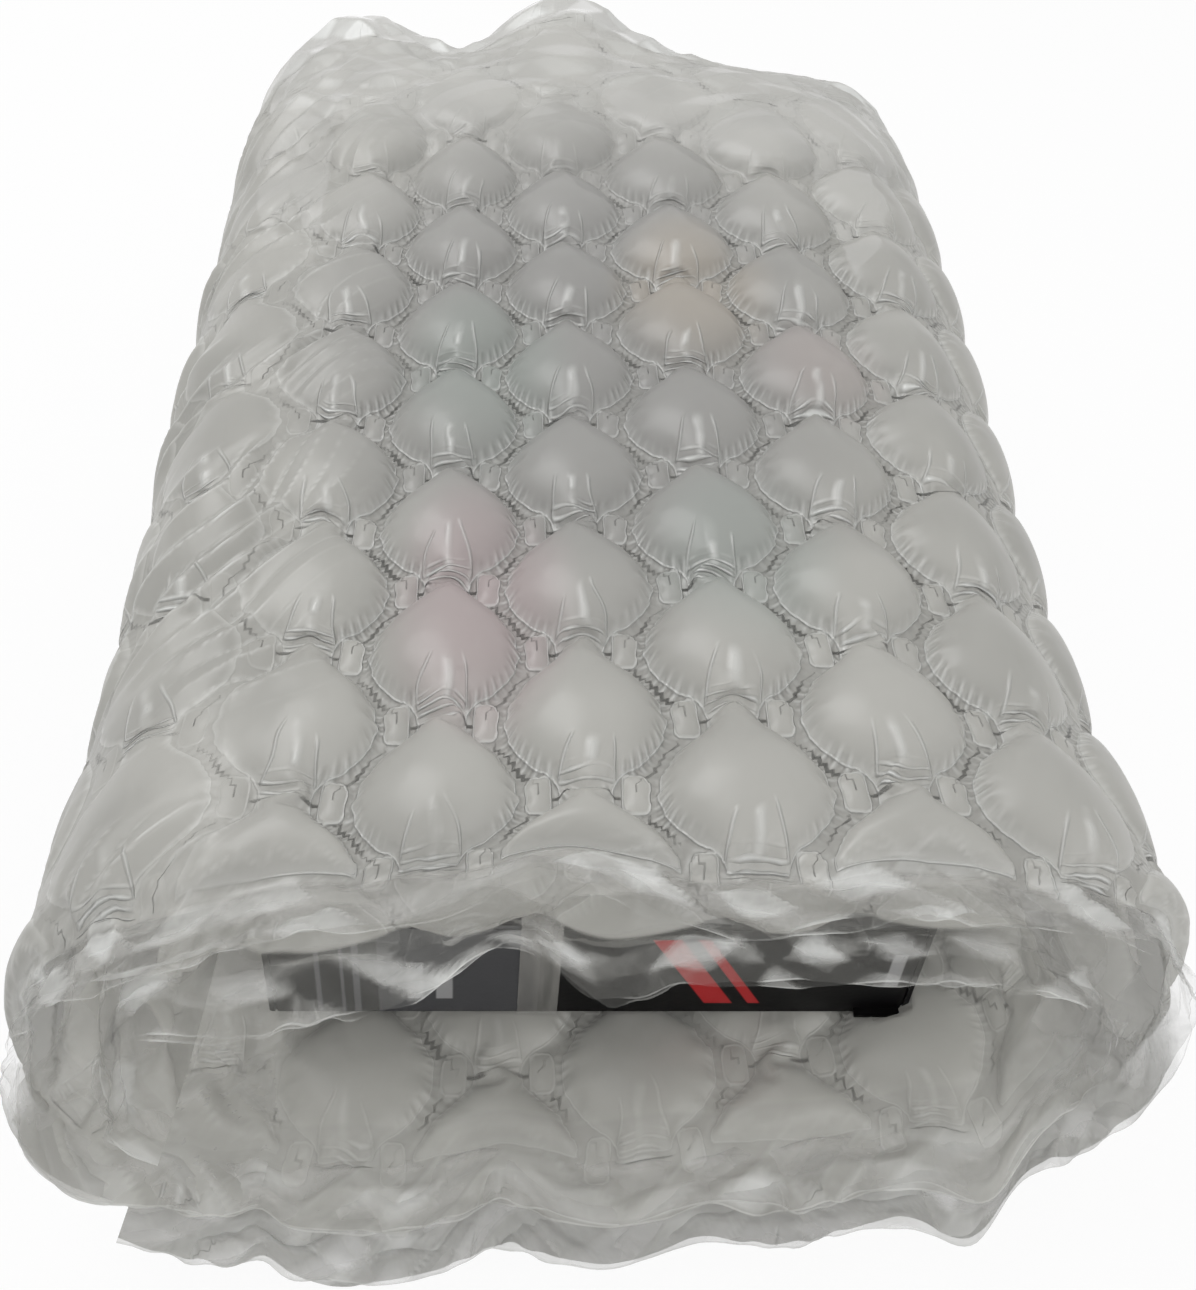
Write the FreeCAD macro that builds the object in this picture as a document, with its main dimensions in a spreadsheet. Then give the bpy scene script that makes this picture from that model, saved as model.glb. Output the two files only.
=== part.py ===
"""Air bubble film roll: a carton wound in two turns of inflated gourd-chain cushion film.

Frame: origin at the bottom centre of the pack, +Z up, +Y along the roll's axis (its longest
side), the open mouth of the roll at -Y. Millimetres.
"""
import FreeCAD, Part
import math
import os

# name, value, what it sets
SIZES = [
    ("chain_pitch", 33.0, "width of one chain of bubbles, round the roll"),
    ("bubble_pitch", 42.5, "length of one bubble, along the roll's axis"),
    ("bubble_count", 8.5, "bubbles in each chain, neighbouring chains half a bubble apart"),
    ("bubble_crown", 10.0, "height of a bubble's crown over the middle of the film"),
    ("seal_height", 1.6, "half thickness of the film along the welds between chains"),
    ("ply_thickness", 1.0, "thickness of the two flat plies past the edge welds"),
    ("skirt_width", 14.0, "width of the flat plies past the edge welds"),
    ("skirt_wave", 4.0, "how far the loose skirts wave in and out"),
    ("turn_count", 2.0, "turns of film round the carton"),
    ("turn_pitch", 18.5, "distance from one turn of film to the next"),
    ("turn_gap", 0.6, "air between two turns where they lie on each other"),
    ("core_side_room", 11.5, "from the carton's sides to the innermost line of the film"),
    ("core_half_height", 25.5, "half height of the innermost line of the film"),
    ("squareness_ratio", 4.4, "exponent of the superellipse that the film is wound on"),
    ("film_end_ratio", 0.692, "where round the roll the film starts and ends, from the top"),
    ("film_end_drop", 6.0, "how far the film's two cut ends lean onto the next turn"),
    ("mouth_rake", 24.0, "how much further the bottom of the mouth reaches than its top"),
    ("mouth_flare", 11.0, "how much further out the roll's sides stand at its mouth"),
    ("flare_reach", 110.0, "length of the roll that this flare fades over"),
    ("mouth_setback", 18.0, "how much less far the mouth's lower right corner reaches"),
    ("setback_reach", 150.0, "length of the roll that this setback fades over"),
    ("left_lean", 8.0, "how far the top of the roll's left side leans in"),
    ("left_taper", 7.0, "how much less far out the left side stands at the far end"),
    ("right_droop", 8.0, "how much lower the top right edge lies at the far end"),
    ("carton_width", 160.0, "carton, across the roll"),
    ("carton_height", 38.0, "carton, standing height"),
    ("carton_length", 285.0, "carton, along the roll"),
    ("carton_offset", 5.0, "carton's middle, to the side of the roll's middle"),
    ("carton_inset", 14.0, "carton's near end, behind the near edge weld of the film"),
    ("board_radius", 0.8, "radius of the carton's folded edges"),
    ("flap_slit", 0.5, "width and depth of the slit round the carton's tucked end flap"),
    ("flap_margin", 1.4, "distance of that slit from the edge of the carton's end"),
    ("tab_width", 12.0, "locking tab at a corner of the carton's end"),
    ("tab_reach", 2.2, "how far that tab stands out of the end"),
    ("tab_thickness", 0.8, "thickness of the tab's board"),
    ("tape_width", 10.0, "clear tape over the carton's end"),
    ("tape_thickness", 0.4, "thickness of the tape"),
    ("tape_top_run", 34.0, "length of the tape on the carton's top"),
    ("tape_offset", -14.0, "tape's middle, to the side of the carton's middle"),
    ("rest_clearance", 0.3, "air between the carton and the bubbles that carry it"),
    ("side_clearance", 3.0, "air between the carton's sides and the film that turns round them"),
    ("carton_press", 0.6, "how far the carton presses the bubbles under it flat"),
    ("ground_press", 3.0, "how far the lowest bubbles are squashed on the ground"),
]

# Share of the crown's height at four places along a bubble, from its near neck: over its middle
# line, and a quarter of a chain to either side. Halfway between two chains it is 0.
BUBBLE_SHARES = ((0.31, 0.0), (0.93, 0.75), (0.97, 0.77), (0.70, 0.30))
COLUMNS_PER_CHAIN = 4
ROWS_PER_BUBBLE = 4
SECTION_SAMPLES = 1440

doc = FreeCAD.newDocument("air_bubble_film_roll")
sheet = doc.addObject("Spreadsheet::Sheet", "Sizes")
for line, (name, value, meaning) in enumerate(SIZES, start=1):
    sheet.set("A%d" % line, name)
    sheet.set("B%d" % line, str(value))
    sheet.set("C%d" % line, meaning)
    sheet.setAlias("B%d" % line, name)
doc.recompute()


def size(name):
    return float(sheet.get(name))


# --- the line that the film is wound on -------------------------------------------------

def core_half_width():
    """Half width of the film's innermost line: it turns round the carton with room beside it."""
    return size("carton_width") / 2 + abs(size("carton_offset")) + size("core_side_room")


def core_point(angle):
    """Point of the superellipse at an angle from the top, clockwise seen from the mouth."""
    power = 2.0 / size("squareness_ratio")
    across, up = math.sin(angle), math.cos(angle)
    x = math.copysign(abs(across) ** power, across) * core_half_width()
    z = math.copysign(abs(up) ** power, up) * size("core_half_height")
    return x, z


def core_line():
    """Evenly spaced points and outward normals once round the core, from the film's ends."""
    steps = SECTION_SAMPLES
    raw = [core_point(2 * math.pi * k / steps) for k in range(steps)]
    lengths = [0.0]
    for k in range(steps):
        lengths.append(lengths[-1] + math.dist(raw[k], raw[(k + 1) % steps]))
    first = size("film_end_ratio") * lengths[-1]
    points = []
    k = 0
    for step in range(steps):
        target = (first + lengths[-1] * step / steps) % lengths[-1]
        if target < lengths[k]:
            k = 0
        while lengths[k + 1] < target:
            k += 1
        share = (target - lengths[k]) / (lengths[k + 1] - lengths[k])
        here, following = raw[k], raw[(k + 1) % steps]
        points.append(tuple(here[i] + share * (following[i] - here[i]) for i in (0, 1)))
    spread = steps // 60
    normals = []
    for step in range(steps):
        before, after = points[step - spread], points[(step + spread) % steps]
        along = (after[0] - before[0], after[1] - before[1])
        length = math.hypot(*along)
        normals.append((-along[1] / length, along[0] / length))
    return points, normals


class Column:
    """One line along the roll's axis: where it is, and how far round the film it lies."""

    def __init__(self, x, z, normal, turn):
        self.x, self.z, self.normal, self.turn = x, z, normal, turn


def spiral_columns():
    """The film's middle line, cut into equal steps, a whole number of chains long."""
    points, normals = core_line()
    steps = SECTION_SAMPLES
    count = int(round(size("turn_count") * steps))
    line = []
    for k in range(count + 1):
        turn = k / steps
        (x, z), normal = points[k % steps], normals[k % steps]
        out = size("turn_pitch") * turn
        line.append(Column(x + normal[0] * out, z + normal[1] * out, normal, turn))
    lengths = [0.0]
    for one, two in zip(line, line[1:]):
        lengths.append(lengths[-1] + math.dist((one.x, one.z), (two.x, two.z)))
    chains = round(lengths[-1] / size("chain_pitch"))
    total = chains * COLUMNS_PER_CHAIN
    columns = []
    k = 0
    for step in range(total + 1):
        target = lengths[-1] * step / total
        while k < count - 1 and lengths[k + 1] < target:
            k += 1
        columns.append(line[k] if target - lengths[k] < lengths[k + 1] - target else line[k + 1])
    return columns, chains


# --- the bubbles ------------------------------------------------------------------------

def bubble_height(step_across, step_along):
    """Height over the middle of the film, by grid steps across a chain and along a bubble."""
    from_middle = abs(step_across - COLUMNS_PER_CHAIN // 2)
    shares = BUBBLE_SHARES[step_along] + (0.0,)
    return size("seal_height") + (size("bubble_crown") - size("seal_height")) * shares[from_middle]


def carton_floor():
    """Height that the carton stands at, on the inner bubbles that it presses a little flat."""
    turn_below = (0.5 - size("film_end_ratio")) % 1.0
    film_below = size("core_half_height") + size("turn_pitch") * turn_below
    return -film_below + size("bubble_crown") - size("carton_press")


def ground():
    """Height of the surface that the pack stands on, its lowest bubbles squashed flat on it."""
    turn_below = (0.5 - size("film_end_ratio")) % 1.0 + size("turn_count") - 1.0
    film_below = size("core_half_height") + size("turn_pitch") * turn_below
    return -film_below - size("bubble_crown") + size("ground_press")


def room_to_carton(column):
    """Distance along the inward normal from the film to the carton, or a large number."""
    z_low, z_high = carton_floor(), carton_floor() + size("carton_height")
    half = size("carton_width") / 2 + size("side_clearance")
    if not z_low < column.z < z_high:
        # The next facet turns round the carton's edge, so this one stays flat past it.
        half += size("chain_pitch") / COLUMNS_PER_CHAIN
    x_low, x_high = size("carton_offset") - half, size("carton_offset") + half
    enter, leave = -1e9, 1e9
    for start, step, low, high in (
        (column.x, -column.normal[0], x_low, x_high),
        (column.z, -column.normal[1], z_low, z_high),
    ):
        if abs(step) < 1e-9:
            if start < low or start > high:
                return 1e9
            continue
        one, two = (low - start) / step, (high - start) / step
        enter, leave = max(enter, min(one, two)), min(leave, max(one, two))
    return enter if 0 < enter < leave else 1e9


# --- the film as one closed skin ----------------------------------------------------------

def film_width():
    return size("bubble_count") * size("bubble_pitch")


def settled(x, along, z):
    """Place of a point of the film once the soft roll has sagged and its mouth has spread."""
    half_width = core_half_width() + size("turn_count") * size("turn_pitch")
    reach = size("core_half_height") + size("turn_count") * size("turn_pitch")
    side = x / half_width
    up = min(max((z + reach) / (2 * reach), 0.0), 1.0)
    share = min(max(along / film_width(), 0.0), 1.0)
    flare = size("mouth_flare") * max(0.0, 1.0 - along / size("flare_reach")) ** 2
    setback = size("mouth_setback") * max(0.0, 1.0 - along / size("setback_reach")) ** 2
    y = along - size("mouth_rake") * (1.0 - (z + reach) / (2 * reach))
    if side < 0:
        x += side * (flare - size("left_lean") * up - size("left_taper") * share ** 2)
        return x, y, z
    return (x + side * flare,
            y + setback * side ** 2 * (1.0 - up),
            z - size("right_droop") * share * up * side ** 3)


def point_off(column, along, height):
    """Point of the film at a height over its middle line, outward positive."""
    x = column.x + column.normal[0] * height
    z = column.z + column.normal[1] * height
    return FreeCAD.Vector(*settled(x, along, z))


def film_skin():
    """Vertices and triangles of the wound film, its bubbles on both open faces."""
    columns, chains = spiral_columns()
    rows = int(round(size("bubble_count") * ROWS_PER_BUBBLE))
    row_pitch = film_width() / rows
    covered = (size("turn_pitch") - size("turn_gap")) / 2
    ply = size("ply_thickness") / 2
    skirt = size("skirt_width")
    last_open_turn = size("turn_count") - 1
    vertices, triangles = [], []

    def vertex(point):
        vertices.append(point)
        return len(vertices) - 1

    def end_share(number):
        """0 inside the film, 1 at its two cut ends."""
        edge = min(number, len(columns) - 1 - number)
        return max(0.0, 1.0 - edge / (COLUMNS_PER_CHAIN / 2.0))

    def lean(number):
        """How far a cut end of the film leans towards the turn that it lies on."""
        inward = -1 if number > len(columns) / 2 else 1
        return inward * end_share(number) * size("film_end_drop")

    def relief(number, row, column, side):
        """Height of the film's face at one grid point, on its outer (1) or inner (-1) side."""
        chain, step = divmod(number, COLUMNS_PER_CHAIN)
        stagger = 0 if chain % 2 else ROWS_PER_BUBBLE // 2
        height = bubble_height(step, (row + stagger) % ROWS_PER_BUBBLE)
        if row in (0, rows) or end_share(number) == 1.0:
            height = size("seal_height")
        if side < 0:
            return min(height, room_to_carton(column) - size("rest_clearance"))
        if column.z + column.normal[1] * height < ground():
            height = (ground() - column.z) / column.normal[1]
        return height

    def side_line(number, side):
        """One column on one face, near weld to far weld: row, vertex and height of each."""
        column = columns[number]
        open_face = column.turn >= last_open_turn if side > 0 else column.turn <= 1.0
        if not open_face:
            flat = covered if end_share(number) < 1.0 else size("seal_height")
            chosen = {0: size("seal_height"), 1: flat, rows - 1: flat, rows: size("seal_height")}
        else:
            chosen = {row: relief(number, row, column, side) for row in range(rows + 1)}
        line = []
        for row, height in sorted(chosen.items()):
            point = point_off(column, row * row_pitch, side * height + lean(number))
            line.append((row, vertex(point), height))
        return line

    def skirt_line(number, near):
        """Outer and inner vertex of the loose plies' free edge."""
        column = columns[number]
        wave = size("skirt_wave") * math.sin(number * 1.9) * math.cos(number * 0.37)
        reach = skirt * (1.0 + 0.16 * math.sin(number * 0.83 + 1.0))
        along = -reach if near else film_width() + reach
        return [vertex(point_off(column, along, wave + lean(number) + side * ply))
                for side in (1, -1)]

    def strip(one, two, flip):
        """Triangles between two lines of (place, vertex, height), walking both by place.

        Where the places agree, the diagonal joins the two higher corners, as on a dome.
        """
        a = b = 0
        while a < len(one) - 1 or b < len(two) - 1:
            if a == len(one) - 1 or b == len(two) - 1:
                step_one = a < len(one) - 1
            elif one[a + 1][0] == two[b + 1][0]:
                step_one = one[a][2] + two[b + 1][2] < two[b][2] + one[a + 1][2]
            else:
                step_one = one[a + 1][0] < two[b + 1][0]
            if step_one:
                corner = (one[a][1], one[a + 1][1], two[b][1])
                a += 1
            else:
                corner = (one[a][1], two[b + 1][1], two[b][1])
                b += 1
            triangles.append(corner[::-1] if flip else corner)

    outer = [side_line(k, 1) for k in range(len(columns))]
    inner = [side_line(k, -1) for k in range(len(columns))]
    near = [skirt_line(k, True) for k in range(len(columns))]
    far = [skirt_line(k, False) for k in range(len(columns))]

    def whole_line(k, side):
        """One face's line with the free edges of the plies at both ends."""
        face = outer[k] if side > 0 else inner[k]
        pick = 0 if side > 0 else 1
        return [(-2, near[k][pick], 0.0)] + face + [(rows + 2, far[k][pick], 0.0)]

    def free_edge(pair):
        return [(0, pair[0], 0.0), (1, pair[1], 0.0)]

    for k in range(len(columns) - 1):
        strip(whole_line(k, 1), whole_line(k + 1, 1), False)
        strip(whole_line(k, -1), whole_line(k + 1, -1), True)
        strip(free_edge(near[k]), free_edge(near[k + 1]), True)
        strip(free_edge(far[k]), free_edge(far[k + 1]), False)
    for k, flip in ((0, True), (len(columns) - 1, False)):
        strip(whole_line(k, 1), whole_line(k, -1), flip)
    return vertices, triangles


def film_solid():
    vertices, triangles = film_skin()
    skin = Part.Shape()
    skin.makeShapeFromMesh(([tuple(v) for v in vertices], triangles), 0.01)
    solid = Part.Solid(Part.Shell(skin.Faces))
    if solid.Volume < 0:
        solid.reverse()
    return solid


# --- the carton and its tape ----------------------------------------------------------------

def box_feature(body, kind, name, sizes, place):
    """A PartDesign box whose three sizes and corner are expressions of the sheet's sizes."""
    feature = body.newObject("PartDesign::%sBox" % kind, name)
    for side, expression in zip(("Length", "Width", "Height"), sizes):
        feature.setExpression(side, expression)
    for axis, expression in zip("xyz", place):
        feature.setExpression("Placement.Base." + axis, expression)
    return feature


def round_long_edges(body, base, radius):
    """Fillet on the edges of a box that run along the roll's axis."""
    doc.recompute()
    names = []
    for number, edge in enumerate(base.Shape.Edges, start=1):
        along = edge.Vertexes[1].Point - edge.Vertexes[0].Point
        if abs(along.y) > 0.99 * along.Length:
            names.append("Edge%d" % number)
    fillet = body.newObject("PartDesign::Fillet", base.Name + "Folds")
    fillet.Base = (base, names)
    fillet.setExpression("Radius", radius)
    return fillet


def carton_body():
    """Folded board carton: its near end is a tucked flap, hinged along the lower edge."""
    body = doc.addObject("PartDesign::Body", "Carton")
    body.Label = "carton"
    block = box_feature(body, "Additive", "Board",
                        ("Sizes.carton_width", "Sizes.carton_length", "Sizes.carton_height"),
                        ("0", "0", "0"))
    round_long_edges(body, block, "Sizes.board_radius")
    flap_run = "Sizes.carton_width - 2 * Sizes.flap_margin"
    for end, y in (("Near", "0"), ("Far", "Sizes.carton_length - Sizes.flap_slit")):
        box_feature(body, "Subtractive", end + "FlapTopSlit",
                    (flap_run, "Sizes.flap_slit", "Sizes.flap_slit"),
                    ("Sizes.flap_margin", y,
                     "Sizes.carton_height - Sizes.flap_margin - Sizes.flap_slit"))
        for side, x in (("Left", "Sizes.flap_margin"),
                        ("Right", "Sizes.carton_width - Sizes.flap_margin - Sizes.flap_slit")):
            box_feature(body, "Subtractive", end + "Flap" + side + "Slit",
                        ("Sizes.flap_slit", "Sizes.flap_slit",
                         "Sizes.carton_height - Sizes.flap_margin"),
                        (x, y, "0"))
    box_feature(body, "Additive", "CornerTab",
                ("Sizes.tab_width", "Sizes.tab_reach + 1", "Sizes.tab_thickness"),
                ("Sizes.carton_width - Sizes.tab_width - Sizes.flap_margin - Sizes.flap_slit",
                 "-Sizes.tab_reach", "Sizes.board_radius"))
    return body


def tape_body():
    """Clear tape down the carton's near end and back over its top."""
    body = doc.addObject("PartDesign::Body", "Tape")
    body.Label = "clear_tape"
    middle = "Sizes.carton_width / 2 + Sizes.tape_offset - Sizes.tape_width / 2"
    box_feature(body, "Additive", "Drop",
                ("Sizes.tape_width", "Sizes.tape_thickness",
                 "Sizes.carton_height + Sizes.tape_thickness"),
                (middle, "-Sizes.tape_thickness", "0"))
    box_feature(body, "Additive", "TopRun",
                ("Sizes.tape_width", "Sizes.tape_top_run + Sizes.tape_thickness",
                 "Sizes.tape_thickness"),
                (middle, "-Sizes.tape_thickness", "Sizes.carton_height"))
    return body


def build():
    """Make the three sub-parts, stand them on the ground and write them out."""
    film = doc.addObject("Part::Feature", "Film")
    film.Label = "film_roll"
    film.Shape = film_solid()
    box = film.Shape.BoundBox
    origin = FreeCAD.Vector(-box.Center.x, -box.Center.y, -box.ZMin)
    film.Placement = FreeCAD.Placement(origin, FreeCAD.Rotation())
    corner = FreeCAD.Vector(size("carton_offset") - size("carton_width") / 2,
                            size("carton_inset"), carton_floor())
    parts = [film]
    for body in (carton_body(), tape_body()):
        body.Placement = FreeCAD.Placement(origin + corner, FreeCAD.Rotation())
        parts.append(body)
    doc.recompute()
    for thing in doc.Objects:
        if "Invalid" in thing.State or "Error" in thing.State:
            raise RuntimeError("%s was not built: %s" % (thing.Name, thing.State))
    os.makedirs("parts", exist_ok=True)
    for part in parts:
        if part.Shape.isNull() or not part.Shape.isValid():
            raise RuntimeError("%s has no valid shape" % part.Label)
        part.Shape.exportStep("parts/%s.step" % part.Label)
        print(part.Label, [round(value, 2) for value in (
            part.Shape.BoundBox.XMin, part.Shape.BoundBox.XMax, part.Shape.BoundBox.YMin,
            part.Shape.BoundBox.YMax, part.Shape.BoundBox.ZMin, part.Shape.BoundBox.ZMax)],
            "volume", round(part.Shape.Volume), "solids", len(part.Shape.Solids))


build()
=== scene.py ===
"""Looks of the air bubble film roll: inflated film, its loose skirts, the carton and the tape.

The film is simulated flat, as a welded two-ply sheet that inflates, and then wound on the same
line as the CAD solid. Lengths are in metres, in the row's frame, and distances that a film
material reads from its mesh are in millimetres on the flat film.
"""
import math
import bpy
import numpy as np
from mathutils import Matrix, Vector


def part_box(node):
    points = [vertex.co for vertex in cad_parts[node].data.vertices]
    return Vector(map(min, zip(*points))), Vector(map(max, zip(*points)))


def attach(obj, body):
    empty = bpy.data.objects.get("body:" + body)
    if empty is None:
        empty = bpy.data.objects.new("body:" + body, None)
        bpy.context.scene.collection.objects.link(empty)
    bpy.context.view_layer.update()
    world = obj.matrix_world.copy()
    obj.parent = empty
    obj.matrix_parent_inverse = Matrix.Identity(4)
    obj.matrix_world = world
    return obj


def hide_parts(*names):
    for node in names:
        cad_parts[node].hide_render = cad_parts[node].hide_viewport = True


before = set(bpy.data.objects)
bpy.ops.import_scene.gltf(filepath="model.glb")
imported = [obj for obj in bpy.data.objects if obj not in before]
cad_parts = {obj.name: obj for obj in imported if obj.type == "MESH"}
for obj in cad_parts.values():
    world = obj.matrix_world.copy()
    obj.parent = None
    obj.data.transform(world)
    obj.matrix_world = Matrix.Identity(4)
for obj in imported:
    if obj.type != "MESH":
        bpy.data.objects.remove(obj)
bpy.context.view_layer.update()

# --- sizes of the film, as in the CAD model --------------------------------------------------

CHAIN = 0.0330              # width of one chain of bubbles
BUBBLE = 0.0425             # length of one bubble
ROWS = 8.5                  # bubbles in each chain
SKIRT = 0.014               # loose plies past the edge welds
CHAINS = 33                 # chains in the whole film
EDGE_WELD = 0.0012          # from the film's edge lines to where its bubbles start
PLIES_PART = 0.0015         # past its edge lines, where the two plies come apart
PAD_PLACE = 0.33            # small pads beside each neck: from the neck, in chains
PAD_ACROSS = 0.085          # half their width, in chains
PAD_ALONG = 0.12            # half their length, in bubbles
TURN_PITCH = 0.0185         # from one turn to the next
TURNS = 2.0                 # round the carton
CORE_HALF_WIDTH = 0.0965    # innermost line of the film, a superellipse
CORE_HALF_HEIGHT = 0.0255
CORE_SQUARENESS = 4.4       # its exponent
FILM_END_PLACE = 0.692      # where round the roll the film starts and ends, from the top
FILM_END_DROP = 0.006       # how far the film's cut ends lean onto the next turn
MOUTH_RAKE = 0.024          # the bottom of the mouth reaches further than its top
MOUTH_FLARE = 0.011         # the roll's sides stand out at its mouth
FLARE_REACH = 0.110         # length of the roll that this fades over
MOUTH_SETBACK = 0.018       # the mouth's lower right corner reaches less far
SETBACK_REACH = 0.150       # length of the roll that this fades over
LEFT_LEAN = 0.008           # the top of the roll's left side leans in
LEFT_TAPER = 0.007          # the left side stands out less at the far end
RIGHT_DROOP = 0.008         # the top right edge lies lower at the far end
# Over the mouth, each turn's lip draws back, is lifted, and arches: (x, half width, how far).
OUTER_LIP = {"back": 0.004, "lift": -0.002,
             "arches": ((-0.010, 0.016, 0.010), (-0.100, 0.030, -0.005), (0.034, 0.012, -0.002))}
INNER_LIP = {"back": 0.000, "lift": 0.001,
             "arches": ((-0.018, 0.014, 0.012), (-0.070, 0.022, -0.007), (0.004, 0.009, -0.004),
                        (0.055, 0.025, 0.002))}
# Humps of loose film over the far end: (x, half width, rise).
FAR_HUMPS = ((0.004, 0.022, 0.010), (-0.078, 0.020, 0.005), (-0.036, 0.016, -0.007),
             (0.072, 0.045, -0.012))
# The loose film stands out on the right and is tucked in beside the mouth on the left: how far,
# and its middle and half width as shares of the film's width.
RIGHT_BULGE = (0.004, 0.78, 0.28)
LEFT_TUCK = (0.006, 0.04, 0.14)
LIP_REACH = 0.040           # what a lip's shape fades over, from the film's edge inward
SCALLOP_REACH = 0.030
FAR_REACH = 0.055
LIP_RISE = 0.35             # share of its draw back that a lip rises
HUMP_LEAN = 0.7             # share of its rise that a hump of the far end leans out
# Waves of the lip that lies on the ground: (x, half width, how far out).
SCALLOPS = ((-0.096, 0.016, -0.002), (-0.074, 0.005, -0.004), (-0.046, 0.022, 0.003),
            (-0.018, 0.007, -0.003), (0.008, 0.012, 0.003), (0.032, 0.008, -0.002),
            (0.055, 0.014, 0.004), (0.078, 0.008, 0.001), (0.096, 0.010, 0.010),
            (0.114, 0.008, -0.003))
CARTON_SIZE = (0.160, 0.285, 0.038)
CARTON_OFFSET = 0.005       # carton's middle, to the side of the roll's middle
CARTON_INSET = 0.014        # carton's near end, behind the film's near edge line
CARTON_PRESS = 0.0006       # how far the carton presses the bubbles under it flat
CROWN = 0.010               # height of the CAD bubbles
FILM_WIDTH = ROWS * BUBBLE
FILM_LENGTH = CHAINS * CHAIN
HALF_WIDTH = CORE_HALF_WIDTH + TURNS * TURN_PITCH
REACH = CORE_HALF_HEIGHT + TURNS * TURN_PITCH
CARTON_GAP = 0.0005         # pressed film stays this far off the carton
GROUND_GAP = 0.0002         # and this far off the ground


# --- the line that the film is wound on --------------------------------------------------------

def core_line(steps=1440):
    """Points and outward normals once round the core, clockwise from where the film ends."""
    angle = np.linspace(0, 2 * math.pi, steps + 1)
    power = 2 / CORE_SQUARENESS
    across, up = np.sin(angle), np.cos(angle)
    x = np.sign(across) * np.abs(across) ** power * CORE_HALF_WIDTH
    z = np.sign(up) * np.abs(up) ** power * CORE_HALF_HEIGHT
    length = np.concatenate([[0], np.cumsum(np.hypot(np.diff(x), np.diff(z)))])
    place = (FILM_END_PLACE + np.arange(steps) / steps) % 1.0 * length[-1]
    points = np.stack([np.interp(place, length, x), np.interp(place, length, z)], 1)
    spread = steps // 60
    along = np.roll(points, -spread, 0) - np.roll(points, spread, 0)
    along /= np.linalg.norm(along, axis=1)[:, None]
    return points, np.stack([-along[:, 1], along[:, 0]], 1)


class Spiral:
    """The middle line of the wound film, by distance along the film."""

    def __init__(self):
        points, normals = core_line()
        steps = len(points)
        number = np.arange(int(TURNS * steps) + 1)
        self.turn = number / steps
        self.normal = normals[number % steps]
        self.point = points[number % steps] + self.normal * (TURN_PITCH * self.turn)[:, None]
        gaps = np.hypot(*np.diff(self.point, axis=0).T)
        self.place = np.concatenate([[0], np.cumsum(gaps)]) / gaps.sum() * FILM_LENGTH

    def at(self, place):
        """Point and normal of the middle line at distances along the film."""
        return [np.interp(place, self.place, column)
                for column in (*self.point.T, *self.normal.T)]

    def place_of_turn(self, turn):
        return float(np.interp(turn, self.turn, self.place))


SPIRAL = Spiral()


def row_shift():
    """From the frame that the film is wound in to the row's frame, read off the carton."""
    low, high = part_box("carton")
    turn_below = (0.5 - FILM_END_PLACE) % 1.0
    floor = -(CORE_HALF_HEIGHT + TURN_PITCH * turn_below) + CROWN - CARTON_PRESS
    return np.array([low[0] + CARTON_SIZE[0] / 2 - CARTON_OFFSET,
                     high[1] - CARTON_INSET - CARTON_SIZE[1], low[2] - floor])


SHIFT = row_shift()


def settled(x, along, z):
    """Place of points of the film once the soft roll has sagged and its mouth has spread."""
    side = x / HALF_WIDTH
    up = np.clip((z + REACH) / (2 * REACH), 0.0, 1.0)
    share = np.clip(along / FILM_WIDTH, 0.0, 1.0)
    flare = MOUTH_FLARE * np.maximum(0.0, 1.0 - along / FLARE_REACH) ** 2
    setback = MOUTH_SETBACK * np.maximum(0.0, 1.0 - along / SETBACK_REACH) ** 2
    y = along - MOUTH_RAKE * (1.0 - (z + REACH) / (2 * REACH))
    right = np.maximum(side, 0.0)
    lean = np.where(side < 0, LEFT_LEAN * up + LEFT_TAPER * share ** 2, 0.0)
    return (x + side * (flare - lean),
            y + setback * right ** 2 * (1.0 - up),
            z - RIGHT_DROOP * share * up * right ** 3)


def bell(value, centre, width):
    return np.exp(-((value - centre) / width) ** 2)


def bells(value, waves):
    """Sum of bells, each given as (centre, half width, height)."""
    return sum(height * bell(value, centre, width) for centre, width, height in waves)


def wind(place, along, height, lip):
    """Points of the film, wound: distance along the film, over its width, over its middle."""
    x, z, normal_x, normal_z = SPIRAL.at(place)
    x = x + normal_x * height
    z = z + normal_z * height
    top = np.maximum(normal_z, 0.0)
    x, y, z = settled(x, along, z)
    share = along / FILM_WIDTH
    high = np.clip(z / REACH, 0.0, 1.0)
    bulge, place_of_bulge, length_of_bulge = RIGHT_BULGE
    tuck, place_of_tuck, length_of_tuck = LEFT_TUCK
    x = x + bulge * bell(share, place_of_bulge, length_of_bulge) * np.maximum(x, 0.0) / HALF_WIDTH
    x = x + (tuck * bell(share, place_of_tuck, length_of_tuck) * high
             * np.maximum(-x, 0.0) / HALF_WIDTH)
    near = np.clip(1.0 - (along + SKIRT) / LIP_REACH, 0.0, 1.0) ** 2 * top
    arch = bells(x, lip["arches"])
    y = y + (lip["back"] + arch) * near
    z = z + (lip["lift"] + LIP_RISE * arch) * near
    under = np.clip(1.0 - (along + SKIRT) / SCALLOP_REACH, 0.0, 1.0) * np.maximum(-normal_z, 0.0)
    y = y - under * bells(x, SCALLOPS)
    far = np.clip(1.0 - (FILM_WIDTH + SKIRT - along) / FAR_REACH, 0.0, 1.0) ** 2 * top
    hump = bells(x, FAR_HUMPS)
    return press(np.stack([x, y + HUMP_LEAN * hump * far, z + hump * far], -1) + SHIFT)


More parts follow.
